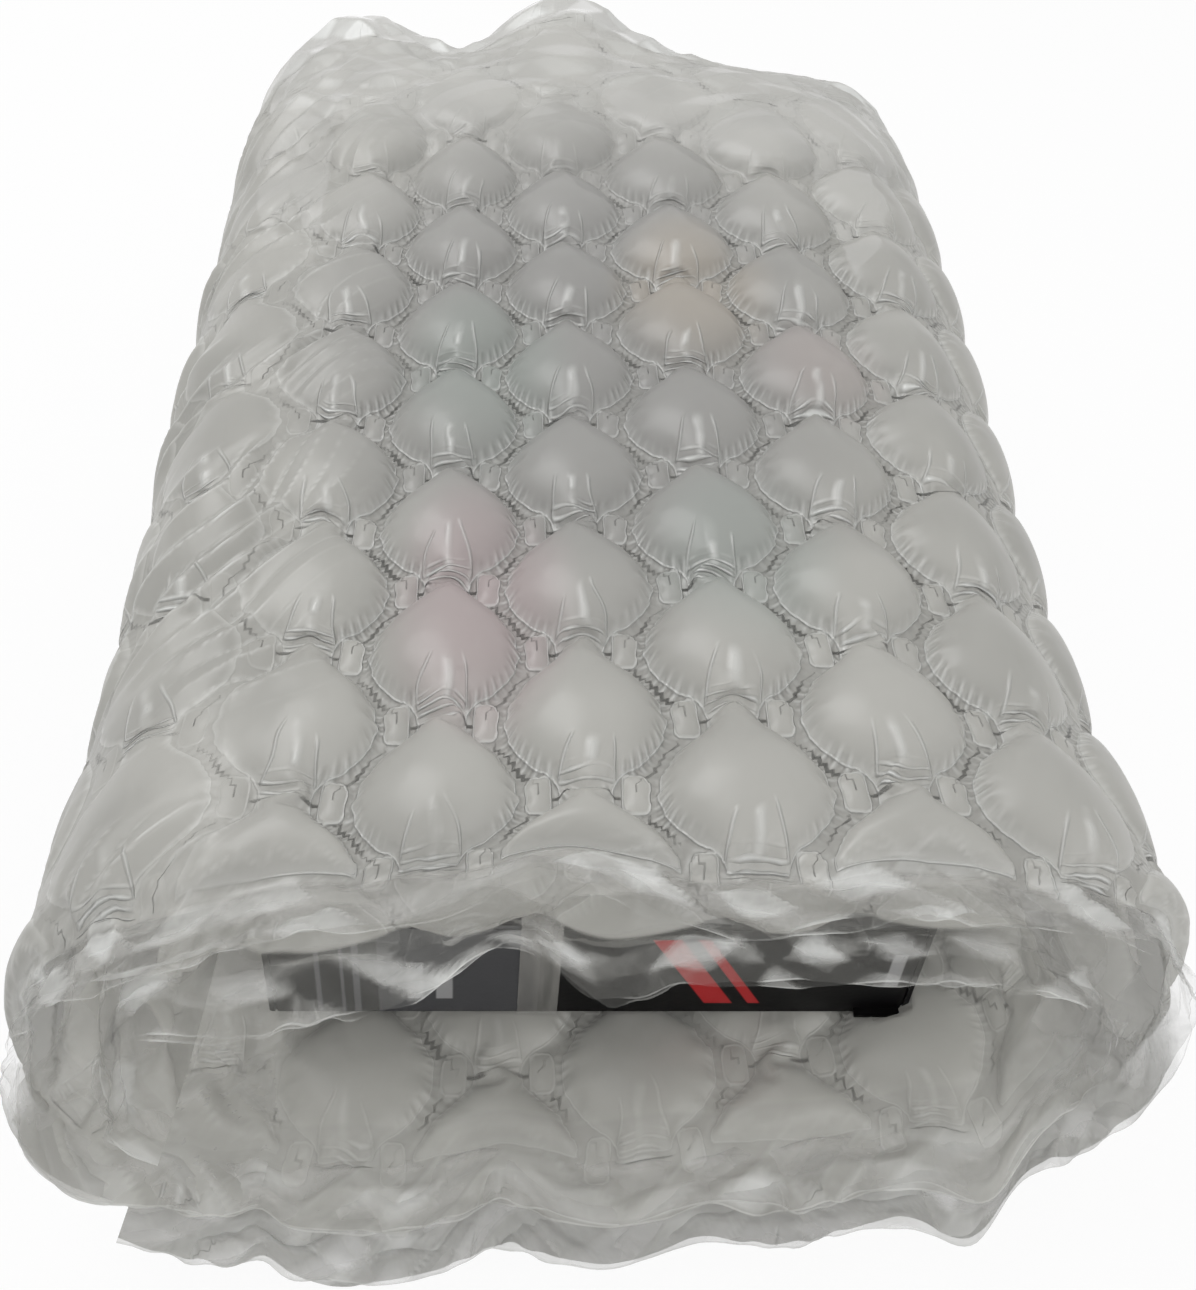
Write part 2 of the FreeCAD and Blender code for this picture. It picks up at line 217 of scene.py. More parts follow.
def press(points):
    """Presses film flat where it meets the ground or the carton."""
    points[..., 2] = np.maximum(points[..., 2], GROUND_GAP)
    low, high = (np.array(corner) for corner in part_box("carton"))
    low, high = low - CARTON_GAP, high + CARTON_GAP
    inside = ((points > low) & (points < high)).all(-1)
    depth = np.stack([points[..., 0] - low[0], high[0] - points[..., 0],
                      points[..., 2] - low[2], high[2] - points[..., 2]])
    nearest = depth.argmin(0)
    for side, (axis, wall) in enumerate(((0, low), (0, high), (2, low), (2, high))):
        pressed = inside & (nearest == side)
        points[..., axis][pressed] = wall[axis]
    return points


# --- the film, inflated -----------------------------------------------------------------------

# A bubble's outline, from its near neck to its far neck: (place in bubbles, half width in chains).
BUBBLE_OUTLINE = ((0.0, 0.185), (0.055, 0.20), (0.12, 0.265), (0.17, 0.355), (0.275, 0.46),
                  (0.355, 0.51), (0.45, 0.535), (0.57, 0.525), (0.64, 0.49), (0.755, 0.41),
                  (0.85, 0.285), (0.92, 0.205), (1.0, 0.185))
WELD_AREA, BUBBLE_AREA, PAD_AREA, LOOSE_AREA = range(4)
DRAWN_IN = 0.90             # the blown-up film's share of its flat size
SKIRT_SLACK = 0.12          # share of that slack that the skirts have
KEPT_SPEED = 0.92           # from one step to the next
BLOWN = {BUBBLE_AREA: 0.006, PAD_AREA: 0.008}      # push of the air at each step, mm
START_NOISE, START_LIFT = 0.00025, 0.0003   # heights of the film before it is blown up
LEAST_LIFT, MOST_WELD = 0.05, 0.9           # of blown film at least and of welds at most, mm
# How much of a stretched and of a slack gap each step closes: along threads, across, over two.
THREAD, SLANTED, BENT = (0.9, 0.6), (0.5, 0.15), (0.0, 0.25)


def bubble_half_width(along):
    """Half width of a bubble, in chains, from its near neck (0) to its far neck (1)."""
    return np.interp(along, *zip(*BUBBLE_OUTLINE))


def stagger(chain):
    """Every other chain lies half a bubble further along."""
    return np.where(chain % 2 == 0, 0.5, 0.0)


def weld_pattern(place, along):
    """Which kind of area each point of the flat film is in."""
    inside = (along > EDGE_WELD) & (along < FILM_WIDTH - EDGE_WELD)
    bubble = np.zeros(place.shape, bool)
    pad = np.zeros(place.shape, bool)
    for neighbour in (-1, 0, 1):
        chain = np.floor(place / CHAIN).astype(int) + neighbour
        across = np.abs(place / CHAIN - chain - 0.5)
        pitch = (along / BUBBLE + stagger(chain)) % 1.0
        bubble |= (across < bubble_half_width(pitch)) & inside
        from_neck = np.minimum(pitch, 1 - pitch)
        pad |= ((across - PAD_PLACE) / PAD_ACROSS) ** 4 + (from_neck / PAD_ALONG) ** 4 < 1
    pad &= inside
    kind = np.where(bubble, BUBBLE_AREA, np.where(pad, PAD_AREA, WELD_AREA))
    loose = (along < -PLIES_PART) | (along > FILM_WIDTH + PLIES_PART)
    return np.where(loose, LOOSE_AREA, kind)


def pull(one, two, rest, strength):
    """Moves two sets of points towards their rest distance: strength if too far, if too close."""
    stiff, soft = strength
    gap = two - one
    length = np.sqrt((gap * gap).sum(-1, keepdims=True)) + 1e-9
    share = (length - rest) / length
    move = gap * (0.5 * np.where(share > 0, stiff, soft) * share)
    one += move
    two -= move


def facing(points):
    """Unit normals of a grid of points."""
    across = np.gradient(points, axis=0)
    along = np.gradient(points, axis=1)
    normal = np.cross(across, along)
    return normal / (np.sqrt((normal * normal).sum(-1, keepdims=True)) + 1e-9)


def inflate(first_chain, chains, per_chain, per_bubble, steps, seed, along_range=None):
    """One ply of the welded film, blown up: a grid of (place, along, height), and its flat grid.

    Blowing up draws the film in, so its threads are longer than the space that they get, and
    they pucker at the welds and necks.
    """
    step_u, step_v = CHAIN / per_chain, BUBBLE / per_bubble
    place = first_chain * CHAIN + np.arange(chains * per_chain + 1) * step_u
    low, high = along_range or (-SKIRT, FILM_WIDTH + SKIRT)
    along = np.arange(round(low / step_v), round(high / step_v) + 1) * step_v
    grid_u, grid_v = np.meshgrid(place, along, indexing="ij")
    kind = weld_pattern(grid_u, grid_v)
    air = (kind == BUBBLE_AREA) | (kind == PAD_AREA)
    weld = kind == WELD_AREA
    noise = np.random.default_rng(seed).normal(size=kind.shape)
    for _ in range(3):
        noise[1:-1, 1:-1] = (2 * noise[1:-1, 1:-1] + noise[:-2, 1:-1] + noise[2:, 1:-1]
                             + noise[1:-1, :-2] + noise[1:-1, 2:]) / 6
    points = np.stack([grid_u, grid_v, noise * START_NOISE], -1)
    points[..., 2][air] = np.abs(points[..., 2][air]) + START_LIFT
    points = (points * 1000).astype(np.float32)
    before = points.copy()
    blown = sum(push * (kind == area) for area, push in BLOWN.items()).astype(np.float32)
    past = np.maximum(-along, along - FILM_WIDTH)
    slack = (np.where(past < 0.0, 1.0, SKIRT_SLACK) * (1 / DRAWN_IN - 1))[None, :, None]
    slack = slack.astype(np.float32)
    for step in range(steps):
        grown = 1 + slack * np.float32(min(1.0, (step + 1) / (steps * 0.5)))
        rest_u, rest_v = 1000 * step_u * grown, 1000 * step_v * grown
        slanted = np.hypot(rest_u, rest_v)
        moved = (points - before) * np.float32(KEPT_SPEED)
        before[...] = points
        points += moved + facing(points) * blown[..., None]
        for odd in (0, 1):
            pull(points[odd:-1:2], points[odd + 1::2], rest_u, THREAD)
            pull(points[:, odd:-1:2], points[:, odd + 1::2], rest_v[:, odd:-1:2], THREAD)
        for odd in (0, 1):
            pull(points[odd:-1:2, :-1], points[odd + 1::2, 1:], slanted[:, 1:], SLANTED)
            pull(points[odd:-1:2, 1:], points[odd + 1::2, :-1], slanted[:, 1:], SLANTED)
        for first in range(4):
            one, two = points[first:-2:4], points[first + 2::4]
            pull(one[:len(two)], two[:len(one)], 2 * rest_u, BENT)
            one, two = points[:, first:-2:4], points[:, first + 2::4]
            count = min(one.shape[1], two.shape[1])
            pull(one[:, :count], two[:, :count], 2 * rest_v[:, first:-2:4][:, :count], BENT)
        height = points[..., 2]
        height[air] = np.maximum(height[air], LEAST_LIFT)
        height[weld] = np.clip(height[weld] * 0.8, -MOST_WELD, MOST_WELD)
        points[0, :, 0], points[-1, :, 0] = place[0] * 1000, place[-1] * 1000
    return points.astype(float) / 1000, np.stack([grid_u, grid_v], -1)


def bubble_field(flat):
    """For each flat point, by its nearest bubble: mm inside its edge, and place within it."""
    place, along = flat[..., 0], flat[..., 1]
    welds = np.minimum(along - EDGE_WELD, FILM_WIDTH - EDGE_WELD - along) * 1000
    edge = np.full(place.shape, -1e9)
    cell = np.zeros(place.shape + (3,))
    for neighbour in (-1, 0, 1):
        chain = np.floor(place / CHAIN).astype(int) + neighbour
        across = place / CHAIN - chain - 0.5
        row = along / BUBBLE + stagger(chain)
        pitch = row % 1.0
        slope = (bubble_half_width(np.minimum(pitch + 0.02, 1.0))
                 - bubble_half_width(np.maximum(pitch - 0.02, 0.0))) / 0.04 * CHAIN / BUBBLE
        inside = (bubble_half_width(pitch) - np.abs(across)) * CHAIN * 1000
        inside = np.minimum(inside / np.sqrt(1 + slope ** 2), welds)
        chance = np.sin(chain * 12.9898 + np.floor(row) * 78.233) * 43758.5453 % 1.0
        here = np.stack([across * CHAIN * 1000, pitch * BUBBLE * 1000, chance], -1)
        nearer = inside > edge
        cell = np.where(nearer[..., None], here, cell)
        edge = np.maximum(edge, inside)
    return edge, cell


def pad_field(flat):
    """Above 0 inside a pad, 0 on its outline."""
    place, along = flat[..., 0], flat[..., 1]
    chain = np.floor(place / CHAIN).astype(int)
    across = np.abs(place / CHAIN - chain - 0.5)
    pitch = (along / BUBBLE + stagger(chain)) % 1.0
    from_neck = np.minimum(pitch, 1 - pitch)
    inside = 1 - ((across - PAD_PLACE) / PAD_ACROSS) ** 4 - (from_neck / PAD_ALONG) ** 4
    return np.clip(inside, -3.0, 1.0)


LATTICE = (257, 263)        # past this many values, the noise repeats


def smooth_noise(flat, size, seed):
    """Random values from -1 to 1 on a square lattice of that size in metres, joined smoothly."""
    place = (flat + 1.0) / size
    cell = np.floor(place).astype(int)
    share = place - cell
    share = share * share * (3 - 2 * share)
    lattice = np.random.default_rng(seed).uniform(-1, 1, LATTICE)

    def value(across, along):
        return lattice[(cell[..., 0] + across) % LATTICE[0],
                       (cell[..., 1] + along) % LATTICE[1]]

    near = value(0, 0) * (1 - share[..., 0]) + value(1, 0) * share[..., 0]
    far = value(0, 1) * (1 - share[..., 0]) + value(1, 1) * share[..., 0]
    return near * (1 - share[..., 1]) + far * share[..., 1]


def crumple(flat, fold_lengths, seed):
    """Flat facets between straight folds: height and slope, -1 to 1, and how near a fold."""
    chance = np.random.default_rng(seed)
    bent = flat + 0.004 * np.stack([smooth_noise(flat, 0.031, seed + 1),
                                    smooth_noise(flat, 0.027, seed + 2)], -1)
    height = np.zeros(flat.shape[:-1])
    near = np.zeros(flat.shape[:-1])
    slope = np.zeros(flat.shape[:-1])
    for number, length in enumerate(fold_lengths):
        heading = chance.uniform(0, math.pi)
        place = (bent[..., 0] * math.cos(heading) + bent[..., 1] * math.sin(heading)) / length
        place = place + chance.uniform() + 0.35 * smooth_noise(flat, 0.045, seed + 5 + number)
        wave = np.abs(place % 1.0 - 0.5) * 4 - 1
        gate = np.clip(smooth_noise(flat, 0.022, seed + 15 + number) * 1.5 + 0.6, 0, 1)
        height += wave * gate / len(fold_lengths)
        slope += np.clip(-3 * np.sin(2 * math.pi * place), -1, 1) * gate / len(fold_lengths)
        near = np.maximum(near, gate * np.clip(1 - (1 - wave) * length / 4 / 0.0009, 0, 1))
    return height, near, slope


# --- where the film is slack, taut or folded --------------------------------------------------

FOLDS = (0.021, 0.017, 0.012, 0.014)
FINE_FOLDS = (0.0065, 0.0048, 0.0055)
FOLD_STRETCH = (0.8, 1.15)  # large folds run a little further round the roll than across the film
SLACK_START, SLACK_FADE = 0.072, 0.028      # from the far edge weld inward
RIB_PITCH, RIB_SLANT = 0.0135, 0.9


def large_folds(flat):
    return crumple(flat * FOLD_STRETCH, FOLDS, 71)


def fine_folds(flat):
    return crumple(flat, FINE_FOLDS, 72)


def past_weld(flat):
    """How far points lie past the nearer edge weld, below 0 inside."""
    return np.maximum(-flat[..., 1], flat[..., 1] - FILM_WIDTH)


def loose_ends(flat, fade):
    """0 inside the film to 1 in the skirts, from 8 mm before the edge weld."""
    return np.clip((past_weld(flat) + 0.008) / fade, 0, 1)


def slack_far(flat):
    """0 to 1 towards the far end, where the film is slack and shows no bubbles."""
    return np.clip((flat[..., 1] - FILM_WIDTH + SLACK_START) / SLACK_FADE, 0, 1)


def taut(flat):
    """How taut the film is over the roll's sides, 0 to 1, and how far it faces left."""
    normal_x = SPIRAL.at(flat[..., 0])[2]
    left = np.clip((-normal_x - 0.04) / 0.16, 0, 1)
    right = np.clip((normal_x - 0.25) / 0.50, 0, 1)
    return left + 0.6 * right, left


def ribs(flat):
    """Slanting ribs where the film is taut on the left: height -1 to 1, and how near a crest."""
    slant = (flat[..., 0] - RIB_SLANT * flat[..., 1]) / RIB_PITCH
    wave = np.abs((slant + 1.1 * smooth_noise(flat, 0.036, 61)) % 1.0 - 0.5) * 4 - 1
    share = taut(flat)[1] * np.clip(0.5 + 1.2 * smooth_noise(flat, 0.024, 62), 0, 1)
    return wave * share, share * np.clip((np.abs(wave) - 0.84) / 0.16, 0, 1)


def cut_end(place):
    """Near the film's two cut ends: 0 at the cut to 1 inside, and the lean onto the next turn."""
    inside = np.minimum(place, FILM_LENGTH - place) / CHAIN
    lean = FILM_END_DROP * np.clip(1 - 2 * inside, 0, 1)
    return np.clip(inside / 0.12, 0, 1), np.where(place > FILM_LENGTH / 2, -lean, lean)


HIGHEST = 0.0118            # what a ply may stand over the film's middle
FLAT_HEIGHT = 0.0080        # height that flattened film is drawn towards
TAUT_FLATTER, INNER_FLATTER, FAR_FLATTER = 0.78, 0.35, 0.86
RIB_HEIGHT, FOLD_HEIGHT, FINE_FOLD_HEIGHT = 0.0017, 0.0026, 0.0008


def wound(grid, flat, side, lip, most=HIGHEST):
    """A simulated ply, wound on the roll, facing outward (1) or inward (-1)."""
    ends, far = loose_ends(flat, 0.010), slack_far(flat)
    height = np.minimum(grid[..., 2], most)
    flatter = (TAUT_FLATTER * taut(flat)[0] if side > 0 else INNER_FLATTER) * (1 - ends)
    flatter = np.maximum(flatter, FAR_FLATTER * far)
    height = height + flatter * (FLAT_HEIGHT - height)
    height = height + RIB_HEIGHT * ribs(flat)[0] * (1 - ends)
    height = height + np.maximum(1.25 * ends, 0.6 * far) * FOLD_HEIGHT * large_folds(flat)[0]
    height = height + np.clip(ends, 0.05, 0.3) * FINE_FOLD_HEIGHT * fine_folds(flat)[0]
    along = grid[..., 1] + ends * 0.0025 * smooth_noise(flat, 0.040, 83)
    inside, lean = cut_end(flat[..., 0])
    return wind(grid[..., 0], along, side * inside * np.minimum(height, most) + lean, lip)


# --- meshes --------------------------------------------------------------------------------

def film_looks(flat):
    """What the film's material reads at each point: vectors and numbers, by name."""
    edge, cell = bubble_field(flat)
    ends, far = loose_ends(flat, 0.009), slack_far(flat)
    past = past_weld(flat) * 1000
    _, fold, slope = large_folds(flat)
    creases = np.maximum(fold * np.maximum(ends, far),
                         fine_folds(flat)[1] * np.clip(ends, 0.0, 0.3))
    creases = np.maximum(creases, 0.9 * ribs(flat)[1] * (1 - ends))
    # Painted light on the loose film's facets: those that slope one way get a painted highlight and
    # the rest are clearer, more on the roll's top than beneath it.
    upper = 0.45 + 0.55 * np.clip(SPIRAL.at(flat[..., 0])[3] * 2, 0, 1)
    facet_light = upper * np.maximum(np.clip((past + 2) / 4, 0, 1), 0.35 * far) * slope
    chance = np.stack([smooth_noise(flat, 0.015, 91), smooth_noise(flat, 0.007, 92),
                       smooth_noise(flat, 0.003, 93)], -1)
    return ({"cell": cell, "chance": chance},
            {"edge": edge, "pad": pad_field(flat), "past": past, "creases": creases,
             "facet_light": facet_light})


def film_mesh(name, points, flat, material, outward=True):
    """A piece of film from a grid of wound points."""
    rows, columns = points.shape[:2]
    number = np.arange(rows * columns).reshape(rows, columns)
    corners = np.stack([number[:-1, :-1], number[1:, :-1], number[1:, 1:], number[:-1, 1:]], -1)
    corners = corners.reshape(-1, 4)
    if not outward:
        corners = corners[:, ::-1]
    mesh = bpy.data.meshes.new(name)
    mesh.from_pydata(points.reshape(-1, 3).tolist(), [], corners.tolist())
    mesh.polygons.foreach_set("use_smooth", [True] * len(mesh.polygons))
    vectors, numbers = film_looks(flat)
    for label, values in vectors.items():
        layer = mesh.attributes.new(label, "FLOAT_VECTOR", "POINT")
        layer.data.foreach_set("vector", values.reshape(-1))
    for label, values in numbers.items():
        layer = mesh.attributes.new(label, "FLOAT", "POINT")
        layer.data.foreach_set("value", values.reshape(-1))
    mesh.materials.append(material)
    piece = bpy.data.objects.new(name, mesh)
    bpy.context.collection.objects.link(piece)
    return piece


# --- materials -----------------------------------------------------------------------------

class Value:
    """A number or colour in a shader: sums and products of numbers are nodes too."""

    def __init__(self, tree, socket):
        self.tree = tree
        self.socket = socket

    def __add__(self, other):
        return self.tree.math("ADD", self, other)

    def __sub__(self, other):
        return self.tree.math("SUBTRACT", self, other)

    def __rsub__(self, other):
        return self.tree.math("SUBTRACT", other, self)

    def __mul__(self, other):
        return self.tree.math("MULTIPLY", self, other)

    def __truediv__(self, other):
        return self.tree.math("DIVIDE", self, other)

    def __abs__(self):
        return self.tree.math("ABSOLUTE", self)

    __radd__ = __add__
    __rmul__ = __mul__


class Shader:
    """A node tree, with helpers for sums of plain nodes."""

    def __init__(self, tree):
        self.nodes = tree.nodes
        self.links = tree.links

    def feed(self, socket, value):
        if isinstance(value, Value):
            self.links.new(value.socket, socket)
        elif isinstance(value, (tuple, list)) and len(value) == 3:
            socket.default_value = (*value, 1.0) if len(socket.default_value) == 4 else value
        else:
            socket.default_value = value

    def math(self, operation, *values):
        node = self.nodes.new("ShaderNodeMath")
        node.operation = operation
        for socket, value in zip(node.inputs, values):
            self.feed(socket, value)
        return Value(self, node.outputs[0])

    def most(self, *values):
        """The largest of some numbers."""
        largest = values[0]
        for value in values[1:]:
            largest = self.math("MAXIMUM", largest, value)
        return largest

    def least(self, one, two):
        return self.math("MINIMUM", one, two)

    def ramp(self, value, low, high, out_low=0.0, out_high=1.0):
        node = self.nodes.new("ShaderNodeMapRange")
        node.interpolation_type = "SMOOTHSTEP"
        for socket, number in zip(node.inputs, (value, low, high, out_low, out_high)):
            self.feed(socket, number)
        return Value(self, node.outputs[0])

    def rays(self, *kinds):
        """1 for rays of these kinds, 0 for all others."""
        outputs = self.nodes.new("ShaderNodeLightPath").outputs
        return self.most(*(Value(self, outputs["Is %s Ray" % kind]) for kind in kinds))

    def blend(self, share, one, two, output):
        """Sends a blend of two shaders to the tree's output."""
        node = self.nodes.new("ShaderNodeMixShader")
        self.feed(node.inputs[0], share)
        self.links.new(one.outputs[0], node.inputs[1])
        self.links.new(two.outputs[0], node.inputs[2])
        self.links.new(node.outputs[0], self.nodes[output].inputs["Surface"])


class Paint(Shader):
    """A procedural material."""

    def __init__(self, name):
        self.material = bpy.data.materials.new(name)
        self.material.use_nodes = True
        super().__init__(self.material.node_tree)
        self.shader = self.nodes["Principled BSDF"]
        self.position = self.nodes.new("ShaderNodeTexCoord").outputs["Object"]
        self.x, self.y, self.z = self.parts(self.position)

    def parts(self, vector):
        node = self.nodes.new("ShaderNodeSeparateXYZ")
        self.links.new(vector, node.inputs[0])
        return [Value(self, socket) for socket in node.outputs]

    def set(self, name, value):
        self.feed(self.shader.inputs[name], value)

    def line(self, value, centre, width):
        """1 where a value is at its centre, 0 past a width to either side."""
        return self.ramp(abs(value - centre), 0.0, width, 1.0, 0.0)

    def between(self, value, low, high, soft=0.0003):
        """1 from low to high, 0 outside."""
        return (self.ramp(value, low - soft, low + soft)
                * self.ramp(value, high - soft, high + soft, 1.0, 0.0))

    def patch(self, low, high, soft=0.0003):
        """1 inside a box given as (x, y, z) corners, None where it doesn't end."""
        share = 1.0
        for value, start, stop in zip((self.x, self.y, self.z), low, high):
            if start is not None:
                share = share * self.between(value, start, stop, soft)
        return share

    def blob(self, centre, radii):
        """1 at a centre, fading to 0 at an ellipsoid's surface."""
        total = 0.0
        for value, middle, radius in zip((self.x, self.y, self.z), centre, radii):
            if radius is not None:
                off = (value - middle) / radius
                total = total + off * off
        return self.ramp(total, 0.0, 1.0, 1.0, 0.0)

    def mix(self, share, one, two):
        node = self.nodes.new("ShaderNodeMix")
        node.data_type = "RGBA"
        self.feed(node.inputs["Factor"], share)
        self.feed(node.inputs["A"], one)
        self.feed(node.inputs["B"], two)
        return Value(self, node.outputs["Result"])

    def noise(self, scale, detail=3.0, stretch=(1, 1, 1)):
        mapping = self.nodes.new("ShaderNodeMapping")
        mapping.inputs["Scale"].default_value = stretch
        self.links.new(self.position, mapping.inputs[0])
        node = self.nodes.new("ShaderNodeTexNoise")
        self.links.new(mapping.outputs[0], node.inputs["Vector"])
        node.inputs["Scale"].default_value = scale
        node.inputs["Detail"].default_value = detail
        return Value(self, node.outputs[0])

    def attribute(self, name):
        node = self.nodes.new("ShaderNodeAttribute")
        node.attribute_name = name
        return node.outputs

    def bump(self, height, distance):
        node = self.nodes.new("ShaderNodeBump")
        node.inputs["Strength"].default_value = 1.0
        node.inputs["Distance"].default_value = distance
        self.feed(node.inputs["Height"], height)
        self.links.new(node.outputs[0], self.shader.inputs["Normal"])


def grey(level):
    """Linear grey from an sRGB level of 0 to 255."""
    share = level / 255
    return ((share + 0.055) / 1.055) ** 2.4


def colour(red, green, blue):
    """Linear colour from sRGB levels of 0 to 255."""
    return (grey(red), grey(green), grey(blue))


def times(tone, share):
    return tuple(value * share for value in tone)


# What shows faintly through the film, the carton first: (colour, centre, radii, strength).
TINTS = (
    (colour(150, 149, 147), (-0.003, 0.020, 0.118), (0.100, 0.150, None), 0.95),
    (colour(176, 156, 159), (-0.033, -0.095, 0.118), (0.026, 0.050, None), 0.55),
    (colour(148, 158, 152), (-0.033, -0.003, 0.118), (0.028, 0.046, None), 0.45),
    (colour(150, 160, 155), (0.031, -0.078, 0.118), (0.028, 0.040, None), 0.40),
    (colour(182, 170, 154), (0.028, 0.037, 0.118), (0.028, 0.042, None), 0.45),
    (colour(174, 160, 158), (0.062, 0.002, 0.118), (0.024, 0.026, None), 0.40),
)
# How white a feature of the film is, partly the film's own whitening and partly painted highlight
# and glint, and how far it stands out.
HIGHLIGHT_WHITENESS = {"seam": 0.60, "rim": 0.45, "fold": 0.40, "wedge": 0.50, "creases": 0.60,
             "gather": 0.60}
STANDS_OUT = {"seam": 0.25, "rim": 0.35, "fold": 0.40, "wedge": 0.45, "creases": 0.30,
              "gather": 0.50, "pucker": 0.30, "gate": 0.12, "grain": 0.05}
# Colours of the painted highlights: on creases, seams and folds, and on the facets that face the
# light.
CREASE_HIGHLIGHT_COLOUR = colour(218, 219, 216)
FACET_HIGHLIGHT_COLOUR = colour(226, 227, 225)
SCATTER = 0.82              # share of the light that a ply lets through to what is behind it


class Film(Paint):
    """Milky film: its creases and the edges of its welds are less clear, and whiter, partly from
    the film's own whitening and partly as painted highlights and glints.
    """

    def __init__(self, name):
        super().__init__(name)
        self.edge, self.pad, self.past, self.creases, self.facet_light = (
            Value(self, self.attribute(label)["Fac"])
            for label in ("edge", "pad", "past", "creases", "facet_light"))
        self.across, self.along, self.chance = self.parts(self.attribute("cell")["Vector"])
        self.drift, self.gate, self.grain = self.parts(self.attribute("chance")["Vector"])
        # Over the roll's sides the film is taut, and its welds hardly show.
        self.plain = (self.ramp(self.x, -0.090, -0.064, 0.15, 1.0)
                      * self.ramp(self.x, 0.098, 0.118, 1.0, 0.4))

    def puckers(self):
        """Short puckers stand square to each bubble's edge, and run on into the weld."""
        angle = self.math("ARCTAN2", self.across, self.along - 24.0)
        reach = (self.ramp(self.edge, -3.2, -0.6) * self.ramp(self.edge, 0.4, 4.0, 1.0, 0.0)
                 * self.ramp(self.gate, -0.5, 0.5, 0.2, 1.0)
                 * self.ramp(self.past, -12.0, -6.0, 1.0, 0.0)
                 * self.ramp(self.pad, -0.5, 0.0, 1.0, 0.0) * self.plain)
        return self.math("SINE", angle * 46.0 + self.drift * 5.0) * reach

    def neck_folds(self):
        """Two folds run from the near neck up the bubble, with a lit wedge between them."""
        rise = (self.along - 2.5) / 15.0
        off = self.across - (self.chance - 0.5) * 4.0 * rise + self.gate
        from_fold = abs(off) - (6.4 - rise * 4.2)
        tall = self.gate * 0.25 + 0.70
        climb = self.ramp(rise, 0.0, 0.08) * self.ramp(rise / tall, 0.75, 1.15, 1.0, 0.0)
        wedge = self.line(off, 0.2, 1.7) * self.ramp(self.grain, -0.7, 0.3, 0.25, 1.0)
        return self.line(from_fold, 0.0, 0.6) * climb, wedge * climb

    def neck_gather(self):
        """Crumples gather at the necks."""
        neck = (self.ramp(abs(self.across), 4.0, 7.5, 1.0, 0.0)
                * self.ramp(abs(self.along - 2.2), 1.2, 4.6, 1.0, 0.0))
        waves = self.math("SINE", self.along * 3.1 + self.gate * 6.0) + self.grain * 0.8
        return self.most(waves, 0.0) * neck

    def features(self):
        fold, wedge = self.neck_folds()
        return {"seam": self.line(self.edge, 0.0, 0.38) * self.plain,
                "rim": self.line(self.pad, 0.0, 0.45) * self.plain,
                "fold": fold, "wedge": wedge, "creases": self.creases,
                "gather": self.neck_gather(), "pucker": self.puckers(),
                "gate": self.gate, "grain": self.grain}

    def white(self, features, crisp):
        """How white each point is, 0 to 1: whitened creases, seams and lips, with painted
        highlights and glints on folds, wedges, necks and puckers.
        """
        # Painted light: the rims inside each bubble are painted lighter, which evens out their
        # shading.
        rim_lightening = (self.ramp(self.edge, -0.3, 0.3)
                * self.ramp(self.edge, 0.0, 3.0, 0.22, 0.0))
        lip = self.ramp(self.past, 1000 * SKIRT - 0.35, 1000 * SKIRT - 0.10)
        white = self.most(rim_lightening, lip, *(features[label] * share
                                       for label, share in HIGHLIGHT_WHITENESS.items()))
        # The crests of the puckers get a painted highlight.
        white = white + self.most(features["pucker"], 0.0) * 0.35
        glint = self.ramp(self.y, 0.070, 0.130, 0.0, 0.16)
        return self.most(self.least(white, 1.0) * crisp, self.creases * glint)

    def tone(self, body, tints, white, crisp):
        tone = self.mix(self.ramp(self.drift, -0.8, 0.8), body, times(body, 1.14))
        for tint, centre, radii, strength in tints:
            tone = self.mix(self.blob(centre, radii) * strength, tone, tint)
        # Painted shade: the welded channels between the bubbles are painted darker, less so where
        # the film is plain or slack.
        channel_shade = (self.ramp(self.edge, -0.2, 0.2, 1.0, 0.0)
                   * self.ramp(self.pad, -0.4, 0.1, 1.0, 0.0) * self.plain * crisp * 0.55)
        tone = self.mix(channel_shade, tone, times(body, 0.62))
        # Painted highlight on the facets that slope towards the light.
        facet_highlight = self.least(self.most(self.facet_light, 0.0) * 1.4, 0.9)
        return self.mix(white, self.mix(facet_highlight, tone, FACET_HIGHLIGHT_COLOUR), CREASE_HIGHLIGHT_COLOUR)

    def shown(self, cover, loose_cover, clear_from, white):
        """How much of each point is film, and not what is behind it."""
        thin = (self.ramp(self.past, clear_from, clear_from + 1.5)
                * self.ramp(self.y, 0.100, 0.150, 1.0, 0.25)
                * self.ramp(self.z, 0.040, 0.075, 0.15, 1.0))
        shown = cover - thin * (cover - loose_cover) + self.facet_light * 0.70 + white * 0.45
        shown = self.most(self.least(shown, 1.0), 0.08)
        # The film scatters most light onward, so that it casts only a pale shadow.
        return shown * (1.0 - self.rays("Shadow", "Diffuse") * SCATTER)


def film_material(name, body, cover, loose_cover, relief=1.0, clear_from=0.5, tints=()):
    film = Film(name)
    features = film.features()
    # Towards the far end the film is slack, and its detail is fainter.
    crisp = film.ramp(film.y, 0.055, 0.125, relief, 0.18 * relief)
    white = film.white(features, crisp)
    film.set("Base Color", film.tone(body, tints, white, crisp))
    film.set("Alpha", film.shown(cover, loose_cover, clear_from, white))
    film.set("Roughness", 0.34 - white * 0.16)
    film.set("IOR", 1.45)
    height = sum(features[label] * share for label, share in STANDS_OUT.items())
    film.bump(height * crisp, 0.0010)
    return film.material


# The carton's print, from its left edge: bars (start, width), blocks (start, up, width, height).
BARS = ((0.012, 0.0012), (0.018, 0.0008), (0.021, 0.0016))
BLOCKS = ((0.034, 0.006, 0.004, 0.016), (0.041, 0.006, 0.004, 0.011), (0.152, 0.012, 0.0035, 0.014))
BANDS_START, BAND_SLANT, BANDS = 0.110, 0.55, ((0.0, 0.007), (0.011, 0.003))


